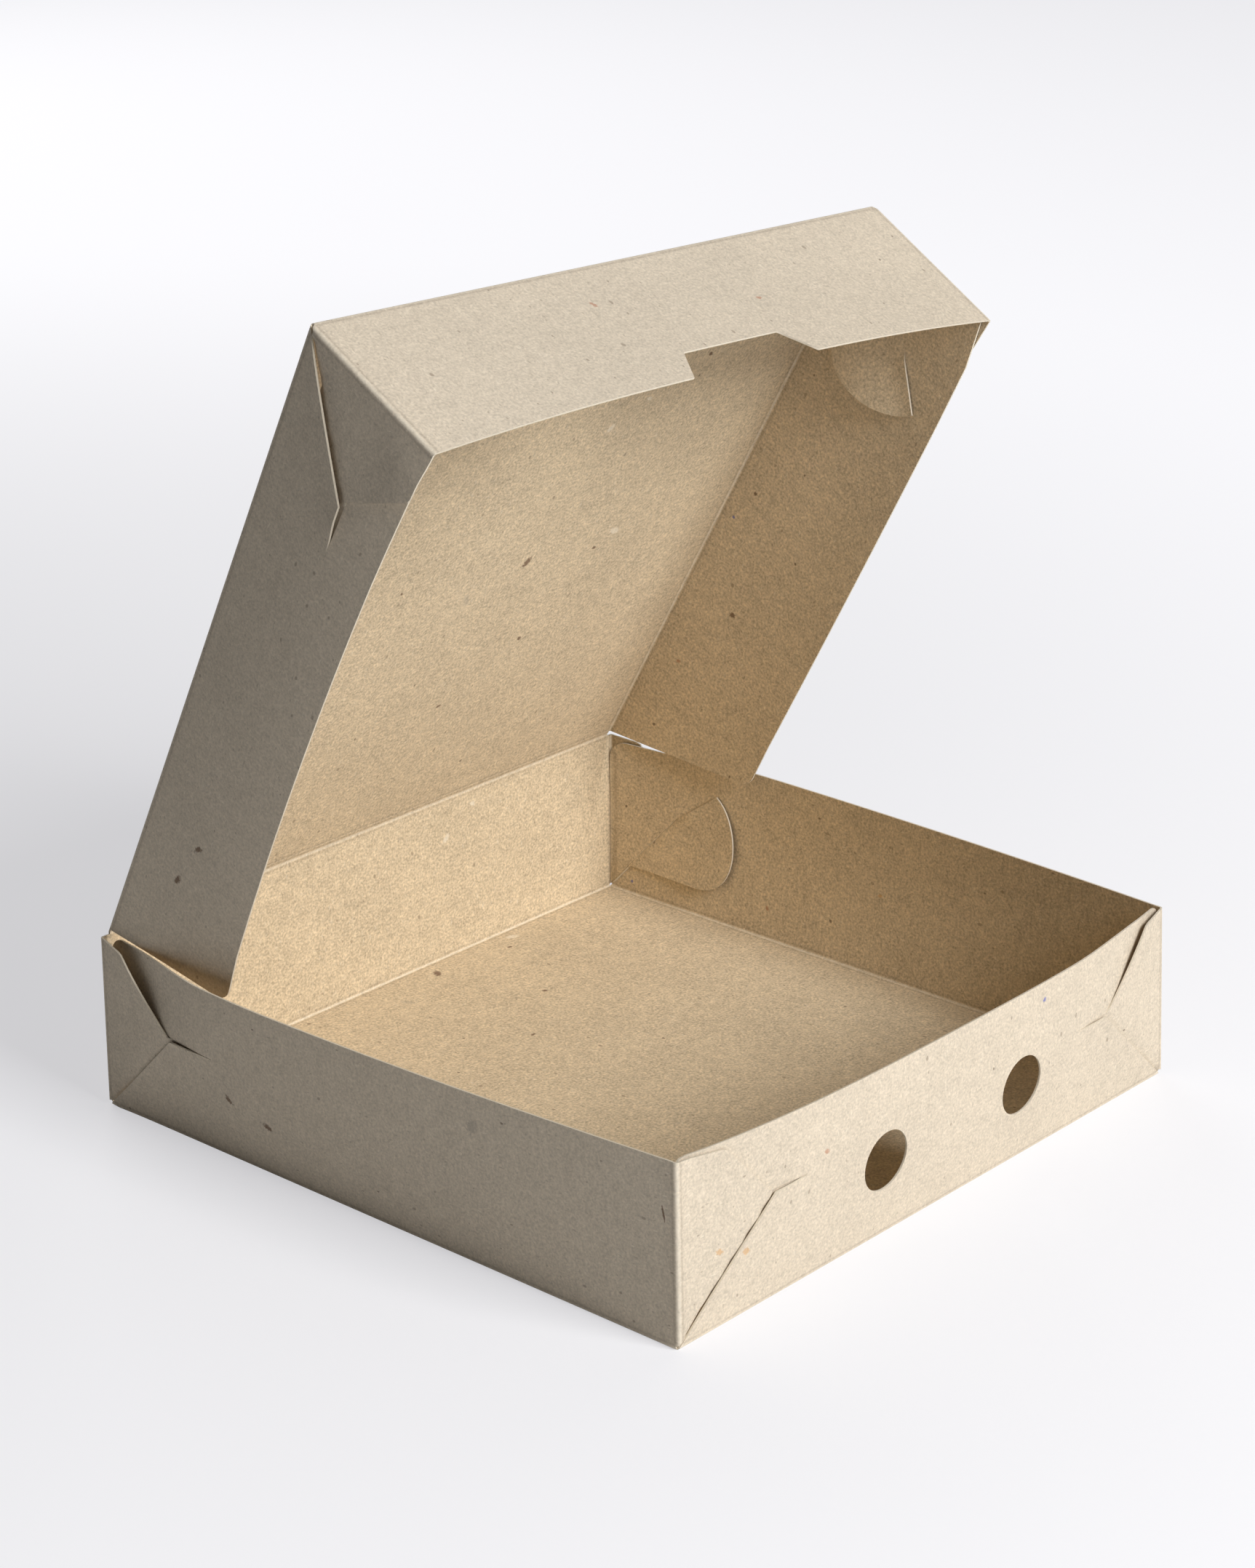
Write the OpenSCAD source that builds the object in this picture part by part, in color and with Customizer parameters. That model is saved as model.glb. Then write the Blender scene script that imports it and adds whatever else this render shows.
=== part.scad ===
// One-piece folded paperboard box for pastries, standing with its lid open.
// Tray and lid are cut from one blank: they are two parts here because the lid turns at its crease.
// Millimetres. Origin at the centre of the underside, +X to the right, +Y to the hinge, +Z up.

/* [Board] */
// Thickness of the board
board_t = 0.5; // [0.4:0.05:0.7]
// Inside radius of each pressed fold
fold_r = 0.3; // [0.25:0.05:0.5]
// Air between a lock tab and the wall that it lies on
lock_gap = 0.1; // [0.05:0.05:0.2]
// Gap between a wall's loose end and the wall that it meets
end_gap = 0.6; // [0.4:0.1:1.2]

/* [Tray] */
// Outside width, side to side
tray_w = 200; // [150:1:320]
// Outside depth, front to back
tray_d = 200; // [150:1:320]
// Height of the hinge crease above the table
tray_h = 50; // [50:1:80]
// How much lower than the crease the loose rims stand
rim_drop = 0.6; // [0.5:0.1:2]
// How far the front wall's rim bows out at its middle
front_bow = 5; // [0:0.5:6]
// How far a side wall's rim bows out where it is fullest
side_bow = 5; // [0:0.5:6]
// Corner radius of the side walls' loose rear ends
side_end_r = 6; // [2:0.5:9]
// Corner radius of the front wall's loose ends
front_end_r = 2; // [1:0.5:6]

/* [Corner locks] */
// Run of a slit's long slanted part along the wall
slit_run = 26; // [22:1:30]
// Rise of a slit's long slanted part
slit_rise = 28; // [24:1:31]
// Length of a slit's short level part
slit_level = 14; // [8:1:18]
// Width of the slanted part, which the tab passes through
slit_w = 2; // [2:0.1:3]
// Width of the level part
level_w = 0.6; // [0.3:0.1:1]
// Length of the tab's level top edge
tab_top = 11; // [6:1:14]
// Drop of the tab's top edge over its length
tab_drop = 1.4; // [0:0.2:3]
// Distance from the fold to the tip's hooked corner
hook_reach = 42; // [38:1:44]
// Height of the tip's hooked corner
hook_rise = 40; // [36:1:42]
// Distance from the fold to the round end of the tip
tip_reach = 48; // [46:1:54]
// Height of the tip's lower edge
tip_low = 9; // [6:1:12]

/* [Vent holes] */
// Diameter of the two holes in the front wall
vent_d = 16.5; // [8:0.5:20]
// Place of the left hole from the middle of the wall
vent_left = -25.5; // [-40:0.5:-18]
// Place of the right hole from the middle of the wall
vent_right = 31; // [18:0.5:40]
// Height of the holes above the table
vent_z = 23; // [18:0.5:28]

/* [Lid] */
// How far the lid stands open, in degrees from closed
open_angle = 61.9; // [30:1:110]
// Height of the lid's front wall
lid_h = 47; // [44:0.5:48]
// Height of the lid's side walls
side_h = 46.5; // [44:0.5:48.5]
// Lean of the lid's front wall towards the hinge, in degrees
front_lean = 5; // [0:0.5:8]
// How far the free edge of the lid's front wall bows out at its middle
lid_front_bow = 4; // [0:0.5:4.5]
// Clearance between the lid and what it passes inside the tray
slide_gap = 0.3; // [0.25:0.05:1]
// Slant of the side walls' rear edges, in degrees
rear_slant = 28.5; // [20:0.5:40]
// Distance from the hinge to the start of the rear edges
rear_start = 1.2; // [1:0.1:4]
// Corner radius where a rear edge meets the loose edge
rear_r = 5; // [2:0.5:8]
// Run of the sloped start of a side wall's loose edge
nose_run = 16; // [8:1:20]
// Rise of that sloped start
nose_rise = 2.5; // [0.5:0.5:4]
// Air between the crease on the tray and the lid's rear edge
hinge_gap = 0.15; // [0.1:0.05:0.3]

/* [Finger notch] */
// Place of the notch from the middle of the lid's front wall
notch_x = 6.5; // [-30:0.5:30]
// Width of the notch at its level edge
notch_top_w = 34; // [20:1:50]
// How much wider each side is at the loose edge
notch_flare = 5.5; // [0:0.5:10]
// Depth of the notch
notch_h = 9.5; // [6:0.5:14]

/* [Hidden] */
$fn = 48;
// where panels of the sheet join, a fold reaches this far into the panel
lap = 0.1;
// and is this much thinner on each face, so that no two faces coincide
skin = 0.01;
board_tone = [0.86, 0.79, 0.7];
// outside radius of a fold
fold_o = board_t + fold_r;
// where a loose wall end starts, from the outside of the wall that it meets
end_s = board_t + end_gap;
rim_h = tray_h - rim_drop;
// the slanted slit as a line through the corner
slit_a = atan2(slit_rise, slit_run);
slit_len = norm([slit_run, slit_rise]);
slit_dir = [cos(slit_a), sin(slit_a)];
slit_nrm = [-sin(slit_a), cos(slit_a)];
pass_w = slit_w / 2;
pass_end = slit_len - 0.6;
// where the tab's tip begins on the slit's line
pass_start = (tip_low + pass_w * cos(slit_a)) / sin(slit_a);
// height at which a lock's fold and the tab's lower edge begin
lock_low = pass_w / cos(slit_a) + fold_o * tan(slit_a);
// the lid passes inside the tabs' tips on the side walls and on the front wall
tip_in = 2 * board_t + lock_gap;
lid_w = tray_w - 2 * tip_in - 2 * slide_gap;
hinge_y = tray_d / 2 - board_t / 2;
hinge_z = tray_h;
// farthest that the lid's front wall may reach from the hinge
reach = hinge_y + tray_d / 2 - tip_in - slide_gap;
lean_out = fold_o * cos(front_lean) - (lid_h - fold_o) * sin(front_lean) - fold_o;
lean_down = fold_o + fold_o * sin(front_lean) + (lid_h - fold_o) * cos(front_lean);
lid_len = sqrt(pow(reach, 2) - pow(lean_down - board_t / 2, 2)) - lean_out;
// crease length on the tray
crease_half = lid_w / 2;
// distance of the round tip's control points from the fold
tip_ctrl = (8 * tip_reach - 2 * hook_reach + 4) / 6;

// a lock's end of a wall has close rows of points, its middle wide ones
lock_rows = [-2, 1, 7, 13, 19, 25, 31, 37, 43, 52];
mid_rows = 5;

function rows_across(w) = concat(
  lock_rows,
  [for (i = [1:mid_rows - 1]) 52 + (w - 104) * i / mid_rows],
  [for (i = [len(lock_rows) - 1:-1:0]) w - lock_rows[i]]
);

function rows_up(top) = [for (k = [-2, 0, 6, 13, 21, 30, 40, 50, 54]) fold_o + k * (top - fold_o) / 50];

// share of a tray wall's bow at height h: none at the fold, all of it at the rim
function fullness(h) = 1 - pow(1 - min(1, max(0, (h - fold_o) / (rim_h - fold_o))), 1.9);

// bow of the tray's front wall, s from either end
front_out = function(s, h)
  front_bow * fullness(h) * (1 - pow(min(1, abs(s - tray_w / 2) / (tray_w / 2 - 2)), 3));

// bow of a side wall, s from its rear end, fullest at a third of its length
peak_s = 0.35 * tray_d;
side_out = function(s, h)
  side_bow * fullness(h) * (1 - pow(min(1, s < peak_s ? (peak_s - s) / (peak_s - 1)
    : (s - peak_s) / (tray_d - peak_s - 2)), 2));

// bow of the lid's front wall, s from its middle, growing towards the free edge
lid_front_out = function(s, h)
  lid_front_bow * pow(max(0, (h - fold_o) / (lid_h - fold_o)), 1.4)
    * (1 - pow(min(1, abs(s) / (lid_w / 2 - 1.5)), 2.4));

function arc_pts(c, r, a0, a1, n = 8) =
  [for (i = [0:n]) c + r * [cos(a0 + (a1 - a0) * i / n), sin(a0 + (a1 - a0) * i / n)]];

function curve_pt(p, u) =
  pow(1 - u, 3) * p[0] + 3 * u * pow(1 - u, 2) * p[1] + 3 * pow(u, 2) * (1 - u) * p[2] + pow(u, 3) * p[3];

function on_slit(d, side) = d * slit_dir + side * slit_nrm;

// a panel in its own plane: X along it, Z away from its fold, outside face at Y = 0
module sheet(pts, y = 0) {
  translate([0, y, 0]) rotate([90, 0, 0]) linear_extrude(board_t) polygon(pts);
}

// a panel like the one above, whose outside face stands out by f(x, z) in straight steps between the rows
module bent_sheet(pts, f, xs, zs, y = 0) {
  n = len(xs);
  m = len(zs);
  layer = n * m;
  cells = [for (j = [0:m - 2]) for (i = [0:n - 2]) [j * n + i, i < n / 2 - 1]];
  intersection() {
    polyhedron(
      points = [for (t = [0, board_t]) for (z = zs) for (x = xs) [x, f(x, z) + y - t, z]],
      faces = concat(
        [for (c = cells) c[1] ? [c[0], c[0] + 1, c[0] + n + 1] : [c[0], c[0] + 1, c[0] + n]],
        [for (c = cells) c[1] ? [c[0], c[0] + n + 1, c[0] + n] : [c[0] + 1, c[0] + n + 1, c[0] + n]],
        [for (c = cells) layer * [1, 1, 1] + (c[1] ? [c[0] + n + 1, c[0] + 1, c[0]] : [c[0] + n, c[0] + 1, c[0]])],
        [for (c = cells) layer * [1, 1, 1] + (c[1] ? [c[0] + n, c[0] + n + 1, c[0]]
          : [c[0] + n, c[0] + n + 1, c[0] + 1])],
        [for (j = [0:m - 2]) [j * n, j * n + n, layer + j * n + n, layer + j * n]],
        [for (j = [1:m - 1]) [j * n + n - 1, j * n - 1, layer + j * n - 1, layer + j * n + n - 1]],
        [for (i = [0:n - 2]) [i, layer + i, layer + i + 1, i + 1]],
        [for (i = [0:n - 2]) [layer - n + i + 1, 2 * layer - n + i + 1, 2 * layer - n + i, layer - n + i]]
      )
    );
    translate([0, 12, 0]) rotate([90, 0, 0]) linear_extrude(24) polygon(pts);
  }
}

// cross-section of a tab where it passes a slit: across the slit, and outwards; it slants between w on both
// sides of the slit's middle, and reaches on to u, thinner than the board by inset on each face
over = lock_gap + board_t;
function pass_section(w, u, inset) = [
  [u, over - inset],
  [w, over - inset],
  [-w, -over - inset],
  [-u, -over - inset],
  [-u, -over - board_t + inset],
  [-w, -over - board_t + inset],
  [w, lock_gap + inset],
  [u, lock_gap + inset]
];

// the pass of a bowed host wall: straight along the slit, on the chord of the bow f, and so much thinner
// that the plates' own bend doesn't bring it through their faces
module bent_pass(f) {
  end_in = 0.5;
  first = pass_start + end_in;
  last = pass_end - end_in;
  bow = [for (d = [first, (first + last) / 2, last]) f(on_slit(d, 0)[0], on_slit(d, 0)[1])];
  slope = (bow[2] - bow[0]) / (last - first);
  end_bow = bow[2] + (bow[1] - (bow[0] + bow[2]) / 2) / 2;
  multmatrix([
    [slit_nrm[0], 0, -slit_dir[0], last * slit_dir[0]],
    [0, 1, -slope, end_bow],
    [slit_nrm[1], 0, -slit_dir[1], last * slit_dir[1]]
  ]) linear_extrude(last - first) polygon(pass_section(pass_w - 0.1, pass_w + 0.2, 0.12));
}

// one side of a fold's cross-section: a quarter turn or a little more, with a straight lap at both ends
function fold_side(r, turn) = concat(
  [[-lap, -r]],
  arc_pts([0, 0], r, -90, turn - 90),
  [[r * cos(turn - 90) - lap * sin(turn - 90), r * sin(turn - 90) + lap * cos(turn - 90)]]
);

// cross-section of a fold through the given angle, centred on the fold's own centre
module fold_section(turn = 90) {
  inner = fold_side(fold_r + skin, turn);
  polygon(concat(
    fold_side(fold_o - skin, turn),
    [for (i = [len(inner) - 1:-1:0]) inner[i]]
  ));
}

// fold between a panel lying in Z = 0 and a wall that rises from it, from X = a to X = b
module edge_fold(a, b, turn = 90) {
  translate([a + lap, -fold_o, fold_o]) rotate([90, 0, 90])
    linear_extrude(b - a - 2 * lap) fold_section(turn);
}

// tab of one corner lock: from the neighbour wall's end round the corner, over the outside of the host
// wall, through its slit, with the hooked tip on the inside; X from the corner, Y outwards, Z from the fold
module lock_tab(top_h, f, long) {
  translate([fold_o, lock_gap - fold_r, lock_low + lap]) rotate([0, 0, 180])
    linear_extrude(top_h - lock_low - 2 * lap) fold_section();
  plate = [
    [fold_o, lock_low],
    on_slit(pass_end, pass_w),
    [fold_o + tab_top, top_h - tab_drop],
    [fold_o, top_h]
  ];
  tip = [
    [hook_reach, hook_rise],
    [tip_ctrl, hook_rise - 8],
    [tip_ctrl, tip_low + 1],
    [hook_reach - 4, tip_low]
  ];
  tip_plate = concat(
    [on_slit(pass_start, -pass_w), on_slit(pass_end, -pass_w), on_slit(pass_end + 1.2, 0)],
    [for (i = [0:14]) curve_pt(tip, i / 14)]
  );
  if (is_undef(f)) {
    sheet(plate, over);
    sheet(tip_plate, -over);
    pass_pt = on_slit(pass_end - lap, 0);
    translate([pass_pt[0], 0, pass_pt[1]]) rotate([0, -90 - slit_a, 0])
      linear_extrude(pass_end - pass_start - 2 * lap) polygon(pass_section(pass_w, pass_w + lap, skin));
  } else {
    bent_sheet(plate, f, rows_across(long), rows_up(rim_h), over);
    bent_sheet(tip_plate, f, rows_across(long), rows_up(rim_h), -over);
    bent_pass(f);
  }
}

// the slit that a lock tab passes through, in the same frame
module lock_slit() {
  rotate([0, -slit_a, 0]) translate([-4, -3, -pass_w]) cube([slit_len + 4, 12, slit_w]);
  translate([slit_run - 0.5, -3, slit_rise - level_w / 2]) cube([slit_level + 0.5, 12, level_w]);
}

module both_sides() {
  children();
  mirror([1, 0, 0]) children();
}

// front right and rear right corner frames of the tray
module at_front_corner() {
  translate([tray_w / 2, -tray_d / 2, 0]) rotate([0, 0, 180]) children();
}

module at_rear_corner() {
  translate([tray_w / 2, tray_d / 2, 0]) rotate([0, 0, -90]) children();
}

module tray_floor() {
  translate([-tray_w / 2 + fold_o, -tray_d / 2 + fold_o, 0])
    cube([tray_w - 2 * fold_o, tray_d - 2 * fold_o, board_t]);
}

module tray_front() {
  half = tray_w / 2 - end_s;
  difference() {
    at_front_corner() bent_sheet(concat(
      [[end_s, fold_o], [tray_w - end_s, fold_o]],
      arc_pts([tray_w - end_s - front_end_r, rim_h - front_end_r], front_end_r, 0, 90),
      arc_pts([end_s + front_end_r, rim_h - front_end_r], front_end_r, 90, 180)
    ), front_out, rows_across(tray_w), rows_up(rim_h));
    both_sides() at_front_corner() lock_slit();
    for (x = [vent_left, vent_right])
      translate([x, -tray_d / 2 + 2 * board_t, vent_z]) rotate([90, 0, 0])
        cylinder(d = vent_d, h = 12);
  }
  translate([0, -tray_d / 2, 0]) mirror([0, 1, 0]) edge_fold(-half, half);
}

// right side wall: its rear end is loose, its front end turns the corner as a lock tab
module tray_side() {
  front_s = tray_d + lock_gap - fold_r;
  at_rear_corner() {
    difference() {
      bent_sheet(concat(
        [[end_s, fold_o], [tray_d - end_s, fold_o], [front_s, lock_low], [front_s, rim_h]],
        arc_pts([end_s + side_end_r, rim_h - side_end_r], side_end_r, 90, 180)
      ), side_out, rows_across(tray_d), rows_up(rim_h));
      lock_slit();
    }
    edge_fold(end_s, tray_d - end_s);
  }
  at_front_corner() lock_tab(rim_h, front_out, tray_w);
}

module tray_back() {
  half = tray_w / 2 - end_s;
  turn_x = tray_w / 2 + lock_gap - fold_r;
  translate([0, tray_d / 2, 0]) {
    sheet([
      [-half, fold_o], [half, fold_o], [turn_x, lock_low], [turn_x, rim_h],
      [crease_half, rim_h], [crease_half, tray_h], [-crease_half, tray_h], [-crease_half, rim_h],
      [-turn_x, rim_h], [-turn_x, lock_low]
    ]);
    edge_fold(-half, half);
  }
  both_sides() at_rear_corner() lock_tab(rim_h, side_out, tray_d);
  translate([-crease_half + lap, hinge_y, hinge_z]) rotate([0, 90, 0])
    cylinder(d = board_t - 2 * skin, h = 2 * (crease_half - lap));
}

module tray() {
  color(board_tone) union() {
    tray_floor();
    tray_front();
    both_sides() tray_side();
    tray_back();
  }
}

// lid pieces are drawn closed, about the hinge: panel level, walls hanging down
module at_lid_front() {
  translate([0, -lid_len, board_t / 2]) rotate([180, 0, 0]) children();
}

module at_lid_corner() {
  translate([lid_w / 2, -lid_len, board_t / 2]) rotate(a = 180, v = [1, 1, 0]) children();
}

module lid_panel() {
  rear = board_t / 2 + hinge_gap;
  translate([-lid_w / 2 + fold_o, -lid_len + fold_o, -board_t / 2])
    cube([lid_w - 2 * fold_o, lid_len - fold_o - rear, board_t]);
}

module lid_front() {
  half = lid_w / 2 - end_s;
  turn_x = lid_w / 2 + lock_gap - fold_r;
  at_lid_front() {
    edge_fold(-half, half, 90 + front_lean);
    translate([0, -fold_o, fold_o]) rotate([front_lean, 0, 0]) translate([0, fold_o, -fold_o])
      difference() {
        bent_sheet([
          [-half, fold_o], [half, fold_o], [turn_x, lock_low], [turn_x, lid_h],
          [-turn_x, lid_h], [-turn_x, lock_low]
        ], lid_front_out, [for (x = rows_across(lid_w)) x - lid_w / 2], rows_up(lid_h));
        translate([0, 8, 0]) scale([1, 30, 1]) sheet([
          [notch_x - notch_top_w / 2, lid_h - notch_h],
          [notch_x + notch_top_w / 2, lid_h - notch_h],
          [notch_x + notch_top_w / 2 + notch_flare * (1 + 1 / notch_h), lid_h + 1],
          [notch_x - notch_top_w / 2 - notch_flare * (1 + 1 / notch_h), lid_h + 1]
        ]);
      }
  }
}

module lean_frame() {
  translate([fold_o, 0, fold_o]) rotate([0, front_lean, 0]) translate([-fold_o, 0, -fold_o]) children();
}

// right side wall of the lid, host of the front wall's lock tab
module lid_side() {
  rear_top = lid_len - rear_start - fold_o * tan(rear_slant);
  rear_low = lid_len - rear_start - side_h * tan(rear_slant);
  // centre of the rounded corner between the slanted rear edge and the loose edge
  round_s = rear_low + (rear_r * sin(rear_slant) - rear_r) / cos(rear_slant);
  at_lid_corner() {
    difference() {
      sheet(concat(
        [[end_s, fold_o], [rear_top, fold_o]],
        arc_pts([round_s, side_h - rear_r], rear_r, rear_slant, 90),
        [[nose_run, side_h], [end_s + side_h * tan(front_lean), side_h - nose_rise]]
      ));
      lean_frame() lock_slit();
    }
    edge_fold(end_s, rear_top);
    lean_frame() lock_tab(lid_h);
  }
}

module lid() {
  color(board_tone) translate([0, hinge_y, hinge_z]) rotate([-open_angle, 0, 0]) union() {
    lid_panel();
    lid_front();
    both_sides() lid_side();
  }
}

tray();
lid();
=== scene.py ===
"""Folded paperboard box for pastries with its lid open: two sheets of board, the crease and a studio."""

import math
from typing import NamedTuple

import bpy
import numpy as np
from mathutils import Matrix, Vector
from mathutils.geometry import delaunay_2d_cdt


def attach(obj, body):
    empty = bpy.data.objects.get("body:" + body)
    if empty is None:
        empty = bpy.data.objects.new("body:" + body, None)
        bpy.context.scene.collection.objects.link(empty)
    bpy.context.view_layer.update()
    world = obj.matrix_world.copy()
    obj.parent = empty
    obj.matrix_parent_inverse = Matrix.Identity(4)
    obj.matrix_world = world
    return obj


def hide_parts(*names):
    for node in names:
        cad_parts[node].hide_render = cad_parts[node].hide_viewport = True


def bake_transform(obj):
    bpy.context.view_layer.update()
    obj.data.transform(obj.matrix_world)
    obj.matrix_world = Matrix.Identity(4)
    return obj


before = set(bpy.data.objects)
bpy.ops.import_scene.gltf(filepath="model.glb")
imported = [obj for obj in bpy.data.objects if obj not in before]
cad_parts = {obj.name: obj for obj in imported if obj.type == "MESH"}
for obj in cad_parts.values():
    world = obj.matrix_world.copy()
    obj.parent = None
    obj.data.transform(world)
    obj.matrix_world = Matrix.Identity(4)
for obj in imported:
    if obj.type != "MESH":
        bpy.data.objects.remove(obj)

bl_info = {
    "name": "Folded pastry box",
    "version": (1, 0, 0),
    "blender": (4, 5, 0),
    "location": "3D View > Sidebar > Box",
    "description": "Board tray with corner locks, hinged lid and a plain studio",
    "category": "Object",
}

MM = 0.001

class BoxSettings(bpy.types.PropertyGroup):
    """Sizes and colours of the box; lengths repeat the named values of the part's source."""

    tray_side: bpy.props.FloatProperty(
        name="Tray side", description="Outside width and depth of the tray", default=0.2, unit="LENGTH"
    )
    tray_height: bpy.props.FloatProperty(
        name="Tray height", description="Height of the hinge crease", default=0.05, unit="LENGTH"
    )
    board: bpy.props.FloatProperty(
        name="Board", description="Thickness of the board", default=0.0005, unit="LENGTH", precision=5
    )
    fold_radius: bpy.props.FloatProperty(
        name="Fold radius", description="Radius at the middle of the board in each fold", default=0.0007,
        unit="LENGTH", precision=5,
    )
    lid_half: bpy.props.FloatProperty(
        name="Lid half width", description="Half the width of the lid's panel", default=0.0988, unit="LENGTH"
    )
    lid_length: bpy.props.FloatProperty(
        name="Lid length", description="From the hinge to the lid's front fold", default=0.1977, unit="LENGTH"
    )
    rim_bow: bpy.props.FloatProperty(
        name="Rim bow", description="How far the tray's front rim bows out", default=0.0052, unit="LENGTH"
    )
    vent_diameter: bpy.props.FloatProperty(
        name="Vent hole", description="Diameter of the two holes in the front wall", default=0.0165, unit="LENGTH"
    )
    mesh_step: bpy.props.FloatProperty(
        name="Mesh step", description="Distance between the points of a sheet", default=0.0025, unit="LENGTH"
    )
    board_colour: bpy.props.FloatVectorProperty(
        name="Board colour", description="Mean colour of the board's outside", default=(0.62, 0.533, 0.418),
        subtype="COLOR", min=0, max=1,
    )
    inside_colour: bpy.props.FloatVectorProperty(
        name="Inside colour", description="Mean colour of the board's browner inside",
        default=(0.622, 0.504, 0.342), subtype="COLOR", min=0, max=1,
    )
    fleck_colour: bpy.props.FloatVectorProperty(
        name="Fleck colour", description="Colour of the dark specks", default=(0.12, 0.075, 0.045),
        subtype="COLOR", min=0, max=1,
    )
    # also mixed onto the folds and cut edges, where it is partly a painted highlight
    pale_colour: bpy.props.FloatVectorProperty(
        name="Pale fibre colour", description="Colour of pale fibres, cut edges and creases",
        default=(0.86, 0.78, 0.64), subtype="COLOR", min=0, max=1,
    )
    floor_colour: bpy.props.FloatVectorProperty(
        name="Floor colour", description="Colour of the studio floor", default=(0.9, 0.9, 0.905),
        subtype="COLOR", min=0, max=1,
    )


def smooth(t):
    """Eases from 0 to 1 while t runs from 0 to 1: three t squared minus two t cubed."""
    t = np.clip(t, 0.0, 1.0)
    return t * t * (3 - 2 * t)


def corner(c, r):
    """Path length c through a right-angled fold, as the run before it (u, up to 0) and after it (v, from 0).
    Within r of the fold both follow a quarter circle of radius r."""
    turn = np.clip((c + r) / (2 * r), 0.0, 1.0) * (math.pi / 2)
    u = np.where(c < -r, c, r * (np.sin(turn) - 1.0))
    v = np.where(c > r, c, r * (1.0 - np.cos(turn)))
    return u, v


# in millimetres: half the width of a slit where it climbs and where it is level, how far a wall's free end
# stays clear of its corner, how far a tab's fold lies outside its wall's, and how far before a fold's line
# a point already counts as beyond it
SLIT_HALF, LEVEL_HALF = 0.35, 0.22
FREE = 0.68
TAB_GAP = 0.6
TURN = 0.35


class Lock(NamedTuple):
    """One corner lock, in millimetres: run, rise and level end of its slit, the shoulder of its tab, how far
    the wall is drawn in behind the tab, how far the tab's loose corner and its inner tip stand off, how
    far the lip below the slit comes out, and the upper corner and the reach of the inner tip."""

    run: float = 26.0
    rise: float = 28.0
    level: float = 14.0
    shoulder: tuple = (11.0, 48.0)
    drawn: float = 0.4
    stand: float = 0.1
    tip: float = 1.2
    lip: float = 0.3
    hook: tuple = (42.0, 40.0)
    reach: float = 48.0


def slit_side(s, h, lock):
    """Signed distance to the bent line of a lock's slit, which climbs from the corner to its apex and
    runs on level: positive above it. s is the distance from the corner, h from the fold."""
    along = np.clip((s * lock.run + h * lock.rise) / (lock.run**2 + lock.rise**2), 0, 1)
    d1 = np.hypot(s - along * lock.run, h - along * lock.rise)
    level = np.clip(s - lock.run, 0, lock.level)
    d2 = np.hypot(s - lock.run - level, h - lock.rise)
    side = np.where(d1 < d2, h * lock.run - s * lock.rise, h - lock.rise)
    return np.where(side >= 0, 1.0, -1.0) * np.minimum(d1, d2)


def drawn_in(s, h, lock):
    """How far the wall's upper end lies back behind its tab: most at the rim beside the corner."""
    return lock.drawn * smooth((h - lock.rise + 2) / 15) * (1 - smooth((s - 12) / (lock.run + 4)))


def host_push(s, h, lock):
    """How far a wall is pushed out where a tab passes its slit: the lip above the slit goes in, the one
    below comes out, both fading over 4 mm; the wall's upper end is drawn in behind the tab."""
    d = slit_side(s, h, lock)
    fade = (1 - np.exp(-((s / 2.5) ** 2))) * (1 - smooth((s - lock.run - 3) / 12))
    lip = np.where(d >= 0, -0.28, lock.lip) * np.exp(-np.abs(d) / 4) * fade
    return lip - drawn_in(s, h, lock)


def tab_push(s, h, lock):
    """How far a lock tab lies outside the middle of its host wall: 0.6 mm outside above the slit's line,
    0.6 mm inside below it, ramping across the slit; its loose corner and its tip stand off the wall."""
    d = (h * lock.run - s * lock.rise) / math.hypot(lock.run, lock.rise)
    fade = 1 - np.exp(-((s / 2.5) ** 2))
    near = 0.28 * np.exp(-np.abs(d) / 4) * fade
    outer = 0.6 - near + lock.stand * smooth((h - lock.rise) / 16) * smooth((s - 1) / 10)
    off = lock.tip * smooth((-d - 2) / 20)
    inner = -0.62 + near * np.tanh(lock.rise - h) - drawn_in(s, h, lock) - off
    ramp = smooth((d + SLIT_HALF) / (2 * SLIT_HALF))
    return inner + (outer - inner) * ramp


def arc(centre, r, a0, a1, n):
    """Points on a circle of radius r, from angle a0 to a1 in degrees."""
    t = np.radians(np.linspace(a0, a1, n))
    return [tuple(p) for p in np.stack([centre[0] + r * np.cos(t), centre[1] + r * np.sin(t)], 1)]


def curve(p, n):
    """Points on the cubic curve with the four control points p."""
    t = np.linspace(0, 1, n)[:, None]
    p = np.array(p, float)
    q = (1 - t) ** 3 * p[0] + 3 * t * (1 - t) ** 2 * p[1] + 3 * t**2 * (1 - t) * p[2] + t**3 * p[3]
    return [tuple(v) for v in q]


def slit_path(lock):
    """Outline of a slit in its host wall, as (s, h): in along the upper lip, back along the lower lip."""
    slope, lift = lock.rise / lock.run, SLIT_HALF * math.hypot(lock.run, lock.rise) / lock.run
    up, low, end = lock.rise + LEVEL_HALF, lock.rise - LEVEL_HALF, lock.run + lock.level
    return [
        (FREE, FREE * slope + lift),
        ((up - lift) / slope, up),
        (end, lock.rise + 0.03),
        (end, lock.rise - 0.03),
        ((low + lift) / slope, low),
        (FREE, max(FREE * slope - lift, 0.2)),
    ]


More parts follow.
